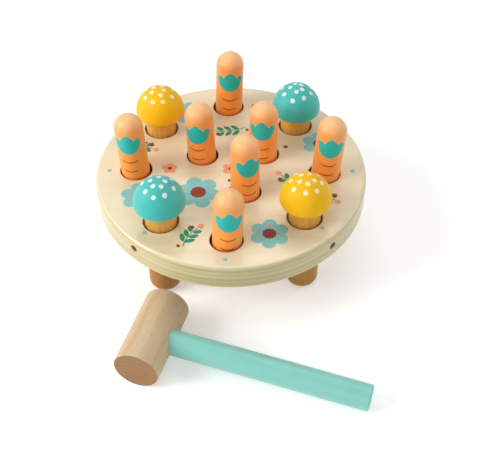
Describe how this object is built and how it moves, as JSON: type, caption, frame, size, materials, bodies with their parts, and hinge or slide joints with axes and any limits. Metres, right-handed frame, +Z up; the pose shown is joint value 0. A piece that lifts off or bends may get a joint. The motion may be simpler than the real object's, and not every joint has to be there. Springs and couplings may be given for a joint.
{
  "type": "peg pounding bench",
  "caption": "Toy pounding bench: round plywood board on short legs, sliding carrot pegs, fixed mushroom posts and a separate mallet.",
  "frame": {"origin": "centre of the board's flat top face, on the axis of the round board", "axes": "+Z up out of the board's top face; the mallet lies on the -Y side, which is the front in the picture; +X is to the right seen from the front"},
  "size_m": [0.22, 0.3038, 0.1275],
  "materials": {
    "plywood": "clear matt lacquer on birch plywood",
    "beech": "clear satin lacquer on turned beech",
    "carrot_paint": "satin paint, peach at the dome and orange below",
    "teal_paint": "satin paint with white dots",
    "yellow_paint": "satin paint with white dots",
    "mint_paint": "satin paint",
    "rubber": "matt black rubber",
    "brass": "brass plated steel screw"
  },
  "bodies": {
    "bench": {"board": "plywood", "grip_ring_back": "rubber", "grip_ring_left": "rubber", "grip_ring_right": "rubber", "grip_ring_front": "rubber", "grip_ring_inner_left": "rubber", "grip_ring_inner_right": "rubber", "grip_ring_inner_front": "rubber", "post_front_left": "beech", "post_front_right": "beech", "post_back_left": "beech", "post_back_right": "beech", "cap_front_left": "teal_paint", "cap_front_right": "yellow_paint", "cap_back_left": "yellow_paint", "cap_back_right": "teal_paint", "leg_screws": "brass"},
    "peg_back": {"carrot_back": "carrot_paint"},
    "peg_left": {"carrot_left": "carrot_paint"},
    "peg_right": {"carrot_right": "carrot_paint"},
    "peg_front": {"carrot_front": "carrot_paint"},
    "peg_inner_left": {"carrot_inner_left": "carrot_paint"},
    "peg_inner_right": {"carrot_inner_right": "carrot_paint"},
    "peg_inner_front": {"carrot_inner_front": "carrot_paint"},
    "mallet": {"mallet_head": "beech", "mallet_handle": "mint_paint"}
  },
  "joints": [
    {"name": "peg_back_slide", "type": "slide", "parent": "bench", "child": "peg_back", "axis": [-0.0349, 0, -0.9994], "range_m": [0, 0.048]},
    {"name": "peg_left_slide", "type": "slide", "parent": "bench", "child": "peg_left", "axis": [0.0523, 0, -0.9986], "range_m": [0, 0.048]},
    {"name": "peg_right_slide", "type": "slide", "parent": "bench", "child": "peg_right", "axis": [-0.0698, 0, -0.9976], "range_m": [0, 0.048]},
    {"name": "peg_front_slide", "type": "slide", "parent": "bench", "child": "peg_front", "axis": [-0.0436, 0, -0.999], "range_m": [-0.00672, 0.04128]},
    {"name": "peg_inner_left_slide", "type": "slide", "parent": "bench", "child": "peg_inner_left", "axis": [0.0349, 0, -0.9994], "range_m": [-0.00364, 0.04436]},
    {"name": "peg_inner_right_slide", "type": "slide", "parent": "bench", "child": "peg_inner_right", "axis": [0, 0, -1], "range_m": [-0.0042, 0.0438]},
    {"name": "peg_inner_front_slide", "type": "slide", "parent": "bench", "child": "peg_inner_front", "axis": [0, 0, -1], "range_m": [0, 0.048]},
    {"name": "mallet_lift", "type": "slide", "parent": "bench", "child": "mallet", "axis": [0, -0.6, 0.8], "range_m": [0, 0.15]}
  ]
}
